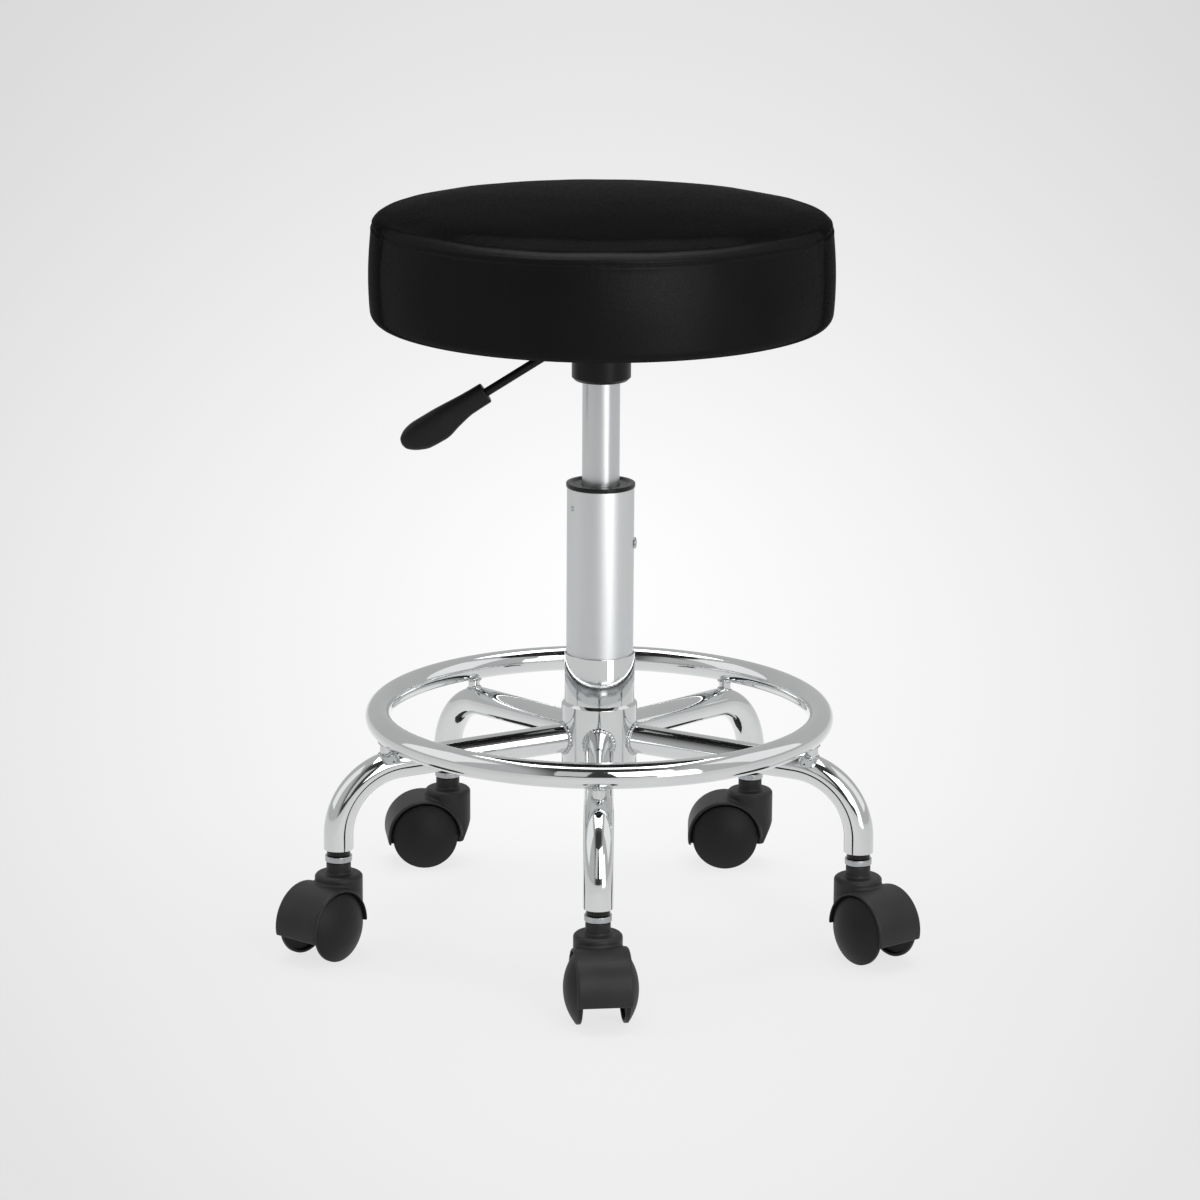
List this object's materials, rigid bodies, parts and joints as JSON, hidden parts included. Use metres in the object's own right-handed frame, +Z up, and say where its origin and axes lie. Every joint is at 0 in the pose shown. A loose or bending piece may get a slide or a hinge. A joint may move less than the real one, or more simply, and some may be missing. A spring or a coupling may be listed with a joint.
{
  "type": "rolling stool",
  "caption": "Height-adjustable rolling stool: round padded leatherette seat on a gas lift with a release lever, chromed five-legged tube base with a foot ring, twin-wheel casters.",
  "frame": {"origin": "on the floor, in the middle of the bounding box of the whole stool as stored", "axes": "+Z up along the lift; +Y away from the viewer of the picture; the lever points along -X"},
  "size_m": [0.4782, 0.4462, 0.5562],
  "materials": {
    "chrome": "polished chrome plate",
    "lift_steel": "bright drawn steel tube, finely ground",
    "plain_steel": "bright zinc plate",
    "caster_nylon": "moulded black nylon, fine grain, half matt",
    "seat_plate_steel": "black powder coat",
    "black_plastic": "moulded black plastic, smooth",
    "buffer_rubber": "black rubber",
    "leatherette": "black leatherette with a fine pebble grain, half gloss",
    "seat_foam": "open-cell polyurethane foam",
    "plywood": "plywood stained black"
  },
  "bodies": {
    "base": {"hub": "chrome", "leg_front": "chrome", "leg_right": "chrome", "leg_back_right": "chrome", "leg_back_left": "chrome", "leg_left": "chrome", "stem_socket_front": "caster_nylon", "stem_socket_right": "caster_nylon", "stem_socket_back_right": "caster_nylon", "stem_socket_back_left": "caster_nylon", "stem_socket_left": "caster_nylon", "foot_ring": "chrome", "column_tube": "lift_steel", "guide_bushing": "black_plastic", "bushing_screw": "plain_steel", "bearing_race_lower": "plain_steel"},
    "cage": {"bearing_cage": "plain_steel"},
    "rod": {"piston_rod": "plain_steel", "bearing_race_upper": "plain_steel", "retaining_clip": "plain_steel", "rubber_buffer": "buffer_rubber"},
    "lift": {"lift_cylinder": "lift_steel", "rod_gland": "black_plastic", "seat_plate": "seat_plate_steel", "lever_pin": "plain_steel", "seat_board": "plywood", "seat_foam": "seat_foam", "seat_cover": "leatherette", "seat_bolt_1": "plain_steel", "seat_bolt_2": "plain_steel", "seat_bolt_3": "plain_steel", "seat_bolt_4": "plain_steel"},
    "lever": {"lever_rod": "seat_plate_steel", "lever_handle": "black_plastic"},
    "release_pin": {"release_pin": "plain_steel"},
    "caster_front": {"caster_hood_front": "caster_nylon", "caster_stem_front": "plain_steel", "caster_axle_front": "plain_steel"},
    "wheel_front_left": {"wheel_front_left": "caster_nylon"},
    "wheel_front_right": {"wheel_front_right": "caster_nylon"},
    "caster_right": {"caster_hood_right": "caster_nylon", "caster_stem_right": "plain_steel", "caster_axle_right": "plain_steel"},
    "wheel_right_left": {"wheel_right_left": "caster_nylon"},
    "wheel_right_right": {"wheel_right_right": "caster_nylon"},
    "caster_back_right": {"caster_hood_back_right": "caster_nylon", "caster_stem_back_right": "plain_steel", "caster_axle_back_right": "plain_steel"},
    "wheel_back_right_left": {"wheel_back_right_left": "caster_nylon"},
    "wheel_back_right_right": {"wheel_back_right_right": "caster_nylon"},
    "caster_back_left": {"caster_hood_back_left": "caster_nylon", "caster_stem_back_left": "plain_steel", "caster_axle_back_left": "plain_steel"},
    "wheel_back_left_left": {"wheel_back_left_left": "caster_nylon"},
    "wheel_back_left_right": {"wheel_back_left_right": "caster_nylon"},
    "caster_left": {"caster_hood_left": "caster_nylon", "caster_stem_left": "plain_steel", "caster_axle_left": "plain_steel"},
    "wheel_left_left": {"wheel_left_left": "caster_nylon"},
    "wheel_left_right": {"wheel_left_right": "caster_nylon"}
  },
  "joints": [
    {"name": "seat_swivel", "type": "hinge", "parent": "base", "child": "rod", "pos_m": [0, 0.03107, 0.13592], "axis": [0, 0, 1], "continuous": true},
    {"name": "bearing_cage_turn", "type": "hinge", "parent": "base", "child": "cage", "pos_m": [0, 0.03107, 0.1334], "axis": [0, 0, 1], "continuous": true},
    {"name": "height_adjust", "type": "slide", "parent": "rod", "child": "lift", "axis": [0, 0, 1], "range_m": [-0.07, 0.05]},
    {"name": "lever_lift", "type": "hinge", "parent": "lift", "child": "lever", "pos_m": [-0.01815, 0.03107, 0.45427], "axis": [0, 1, 0], "range_deg": [0, 7.5], "stiffness_Nm_per_rad": 1.5, "springref_deg": -11.46},
    {"name": "pin_press", "type": "slide", "parent": "lift", "child": "release_pin", "axis": [0, 0, -1], "range_m": [0, 0.0027]},
    {"name": "caster_swivel_front", "type": "hinge", "parent": "base", "child": "caster_front", "pos_m": [0, -0.17233, 0.07458], "axis": [0, 0, 1], "continuous": true},
    {"name": "wheel_spin_front_left", "type": "hinge", "parent": "caster_front", "child": "wheel_front_left", "pos_m": [0.00236, -0.19159, 0.02558], "axis": [0.9925, 0.1219, 0], "continuous": true},
    {"name": "wheel_spin_front_right", "type": "hinge", "parent": "caster_front", "child": "wheel_front_right", "pos_m": [0.00236, -0.19159, 0.02558], "axis": [0.9925, 0.1219, 0], "continuous": true},
    {"name": "caster_swivel_right", "type": "hinge", "parent": "base", "child": "caster_right", "pos_m": [0.19345, -0.03179, 0.07458], "axis": [0, 0, 1], "continuous": true},
    {"name": "wheel_spin_right_left", "type": "hinge", "parent": "caster_right", "child": "wheel_right_left", "pos_m": [0.20565, -0.04686, 0.02558], "axis": [0.7771, 0.6293, 0], "continuous": true},
    {"name": "wheel_spin_right_right", "type": "hinge", "parent": "caster_right", "child": "wheel_right_right", "pos_m": [0.20565, -0.04686, 0.02558], "axis": [0.7771, 0.6293, 0], "continuous": true},
    {"name": "caster_swivel_back_right", "type": "hinge", "parent": "base", "child": "caster_back_right", "pos_m": [0.11956, 0.19562, 0.07458], "axis": [0, 0, 1], "continuous": true},
    {"name": "wheel_spin_back_right_left", "type": "hinge", "parent": "caster_back_right", "child": "wheel_back_right_left", "pos_m": [0.10016, 0.19596, 0.02558], "axis": [-0.0175, -0.9998, 0], "continuous": true},
    {"name": "wheel_spin_back_right_right", "type": "hinge", "parent": "caster_back_right", "child": "wheel_back_right_right", "pos_m": [0.10016, 0.19596, 0.02558], "axis": [-0.0175, -0.9998, 0], "continuous": true},
    {"name": "caster_swivel_back_left", "type": "hinge", "parent": "base", "child": "caster_back_left", "pos_m": [-0.11956, 0.19562, 0.07458], "axis": [0, 0, 1], "continuous": true},
    {"name": "wheel_spin_back_left_left", "type": "hinge", "parent": "caster_back_left", "child": "wheel_back_left_left", "pos_m": [-0.13881, 0.19326, 0.02558], "axis": [0.1219, -0.9925, 0], "continuous": true},
    {"name": "wheel_spin_back_left_right", "type": "hinge", "parent": "caster_back_left", "child": "wheel_back_left_right", "pos_m": [-0.13881, 0.19326, 0.02558], "axis": [0.1219, -0.9925, 0], "continuous": true},
    {"name": "caster_swivel_left", "type": "hinge", "parent": "base", "child": "caster_left", "pos_m": [-0.19345, -0.03179, 0.07458], "axis": [0, 0, 1], "continuous": true},
    {"name": "wheel_spin_left_left", "type": "hinge", "parent": "caster_left", "child": "wheel_left_left", "pos_m": [-0.20565, -0.04686, 0.02558], "axis": [0.7771, -0.6293, 0], "continuous": true},
    {"name": "wheel_spin_left_right", "type": "hinge", "parent": "caster_left", "child": "wheel_left_right", "pos_m": [-0.20565, -0.04686, 0.02558], "axis": [0.7771, -0.6293, 0], "continuous": true}
  ],
  "couplings": [
    {"joint": "bearing_cage_turn", "follows": "seat_swivel", "ratio": 0.5},
    {"joint": "pin_press", "follows": "lever_lift", "m_per_rad": 0.0205}
  ]
}
